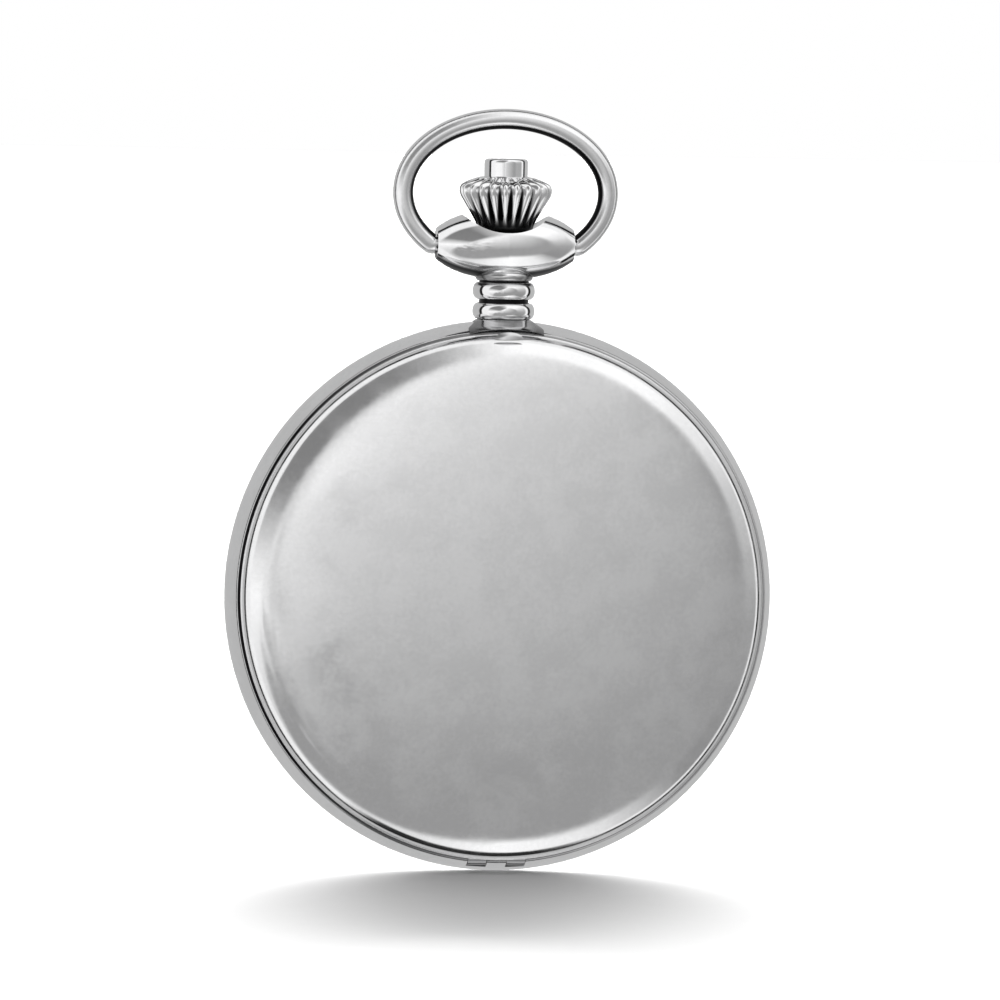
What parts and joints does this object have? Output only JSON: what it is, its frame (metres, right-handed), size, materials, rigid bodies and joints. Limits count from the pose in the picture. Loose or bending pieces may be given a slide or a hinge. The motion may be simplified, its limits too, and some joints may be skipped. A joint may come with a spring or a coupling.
{
  "type": "open face pocket watch",
  "caption": "Open face pocket watch with domed hinged back, fluted crown with push-piece, swinging bow, domed crystal and a hand-wound lever movement with small seconds.",
  "frame": {"origin": "the inside top of the bow, where a chain bears when the watch hangs", "axes": "+Z towards twelve o'clock and the bow, +Y out of the back cover, so the dial faces -Y, +X to the right of the dial"},
  "size_m": [0.048, 0.012, 0.0664],
  "materials": {
    "case_steel": "mirror-polished stainless steel",
    "bright_steel": "fine sunray-brushed steel",
    "spring_steel": "plain hardened steel",
    "nickel_plate": "nickel-plated, striped",
    "gilt_brass": "gilt brass, fine grained",
    "blued_steel": "heat-blued polished steel",
    "ruby": "polished synthetic ruby",
    "crystal": "clear polished mineral glass",
    "enamel": "white fired enamel with black printing",
    "black_steel": "black lacquered steel"
  },
  "bodies": {
    "case": {"case_middle": "case_steel", "back_hinge_pin": "spring_steel", "pendant": "case_steel", "pendant_sleeve": "gilt_brass", "front_bezel": "case_steel", "crystal": "crystal", "dial": "enamel", "lift_spring": "spring_steel", "movement_ring": "nickel_plate", "main_plate": "nickel_plate", "barrel_bridge": "nickel_plate", "train_bridge": "nickel_plate", "balance_cock": "nickel_plate", "barrel_bridge_screw_a": "blued_steel", "barrel_bridge_screw_b": "blued_steel", "train_bridge_screw_a": "blued_steel", "train_bridge_screw_b": "blued_steel", "balance_cock_screw": "blued_steel", "third_jewel": "ruby", "fourth_jewel": "ruby", "escape_jewel": "ruby", "balance_jewel": "ruby", "pallet_bridge": "nickel_plate", "hairspring": "blued_steel", "regulator": "bright_steel", "click_spring": "spring_steel"},
    "back": {"back_cover": "case_steel"},
    "bow": {"bow": "case_steel"},
    "winding": {"winding_pinion": "spring_steel", "castle_wheel": "spring_steel"},
    "crown": {"crown": "case_steel", "winding_stem": "spring_steel", "push_spring": "spring_steel"},
    "pusher": {"push_piece": "case_steel", "push_rod": "spring_steel"},
    "lock": {"lock_spring": "spring_steel"},
    "crown_wheel": {"crown_wheel": "bright_steel", "crown_wheel_screw": "blued_steel"},
    "ratchet": {"ratchet_wheel": "bright_steel", "ratchet_screw": "blued_steel", "barrel_arbor": "spring_steel"},
    "click": {"click": "bright_steel"},
    "barrel": {"barrel_drum": "gilt_brass", "barrel_cover": "gilt_brass", "mainspring": "spring_steel"},
    "centre": {"centre_wheel": "gilt_brass", "cannon_pinion": "spring_steel", "minute_hand": "black_steel"},
    "third": {"third_wheel": "gilt_brass"},
    "fourth": {"fourth_wheel": "gilt_brass", "seconds_hand": "black_steel"},
    "escape": {"escape_wheel": "spring_steel"},
    "pallet": {"pallet_fork": "spring_steel"},
    "balance": {"balance_wheel": "gilt_brass"},
    "minute_work": {"minute_wheel": "gilt_brass"},
    "hour_work": {"hour_wheel": "gilt_brass", "hour_hand": "black_steel"},
    "setting": {"setting_lever": "spring_steel"}
  },
  "joints": [
    {"name": "bow_hinge", "type": "hinge", "parent": "case", "child": "bow", "pos_m": [0, 0, -0.01], "axis": [1, 0, 0], "range_deg": [-145, 145]},
    {"name": "back_cover_hinge", "type": "hinge", "parent": "case", "child": "back", "pos_m": [0, 0.00175, -0.06345], "axis": [-1, 0, 0], "range_deg": [0, 95]},
    {"name": "crown_turn", "type": "hinge", "parent": "case", "child": "winding", "pos_m": [0, 0, -0.0406], "axis": [0, 0, 1], "continuous": true},
    {"name": "crown_pull", "type": "slide", "parent": "winding", "child": "crown", "axis": [0, 0, 1], "range_m": [0, 0.001]},
    {"name": "pusher_press", "type": "slide", "parent": "crown", "child": "pusher", "axis": [0, 0, -1], "range_m": [0, 0.0006], "stiffness_N_per_m": 300, "springref_m": -0.0005, "deforming": ["push_spring"]},
    {"name": "lock_release", "type": "slide", "parent": "case", "child": "lock", "axis": [0, 0, -1], "range_m": [0, 0.0006]},
    {"name": "crown_wheel_turn", "type": "hinge", "parent": "case", "child": "crown_wheel", "pos_m": [0, 0, -0.02875], "axis": [0, -1, 0], "continuous": true},
    {"name": "ratchet_turn", "type": "hinge", "parent": "case", "child": "ratchet", "pos_m": [-0.00606, 0, -0.03585], "axis": [0, 1, 0], "continuous": true},
    {"name": "click_swing", "type": "hinge", "parent": "case", "child": "click", "pos_m": [-0.0134, 0, -0.0387], "axis": [0, -1, 0], "range_deg": [0, 12], "stiffness_Nm_per_rad": 0.000002, "springref_deg": -17.19},
    {"name": "barrel_turn", "type": "hinge", "parent": "case", "child": "barrel", "pos_m": [-0.00606, 0, -0.03585], "axis": [0, -1, 0], "continuous": true},
    {"name": "centre_turn", "type": "hinge", "parent": "case", "child": "centre", "pos_m": [0, 0, -0.0406], "axis": [0, 1, 0], "continuous": true},
    {"name": "third_turn", "type": "hinge", "parent": "case", "child": "third", "pos_m": [0.0048, 0, -0.04597], "axis": [0, -1, 0], "continuous": true},
    {"name": "fourth_turn", "type": "hinge", "parent": "case", "child": "fourth", "pos_m": [0, 0, -0.0492], "axis": [0, 1, 0], "continuous": true},
    {"name": "escape_turn", "type": "hinge", "parent": "case", "child": "escape", "pos_m": [-0.00265, 0, -0.05338], "axis": [0, -1, 0], "continuous": true},
    {"name": "minute_work_turn", "type": "hinge", "parent": "case", "child": "minute_work", "pos_m": [0.00328, 0, -0.03831], "axis": [0, -1, 0], "continuous": true},
    {"name": "hour_hand_turn", "type": "hinge", "parent": "case", "child": "hour_work", "pos_m": [0, 0, -0.0406], "axis": [0, 1, 0], "continuous": true},
    {"name": "pallet_swing", "type": "hinge", "parent": "case", "child": "pallet", "pos_m": [-0.0052, 0, -0.05128], "axis": [0, 1, 0], "range_deg": [-5, 5]},
    {"name": "balance_swing", "type": "hinge", "parent": "case", "child": "balance", "pos_m": [-0.0082, 0, -0.0488], "axis": [0, 1, 0], "range_deg": [-270, 270], "stiffness_Nm_per_rad": 0.00000054},
    {"name": "setting_lever_swing", "type": "hinge", "parent": "case", "child": "setting", "pos_m": [0.0049, 0, -0.024], "axis": [0, 1, 0], "range_deg": [0, 11.8]}
  ],
  "couplings": [
    {"joint": "lock_release", "follows": "pusher_press", "ratio": 1},
    {"joint": "crown_wheel_turn", "follows": "crown_turn", "ratio": 0.5},
    {"joint": "ratchet_turn", "follows": "crown_turn", "ratio": 0.375},
    {"joint": "centre_turn", "follows": "barrel_turn", "ratio": 6},
    {"joint": "third_turn", "follows": "barrel_turn", "ratio": 48},
    {"joint": "fourth_turn", "follows": "barrel_turn", "ratio": 360},
    {"joint": "escape_turn", "follows": "barrel_turn", "ratio": 3600},
    {"joint": "minute_work_turn", "follows": "barrel_turn", "ratio": 2},
    {"joint": "hour_hand_turn", "follows": "barrel_turn", "ratio": 0.5},
    {"joint": "setting_lever_swing", "follows": "crown_pull", "rad_per_m": 204}
  ]
}
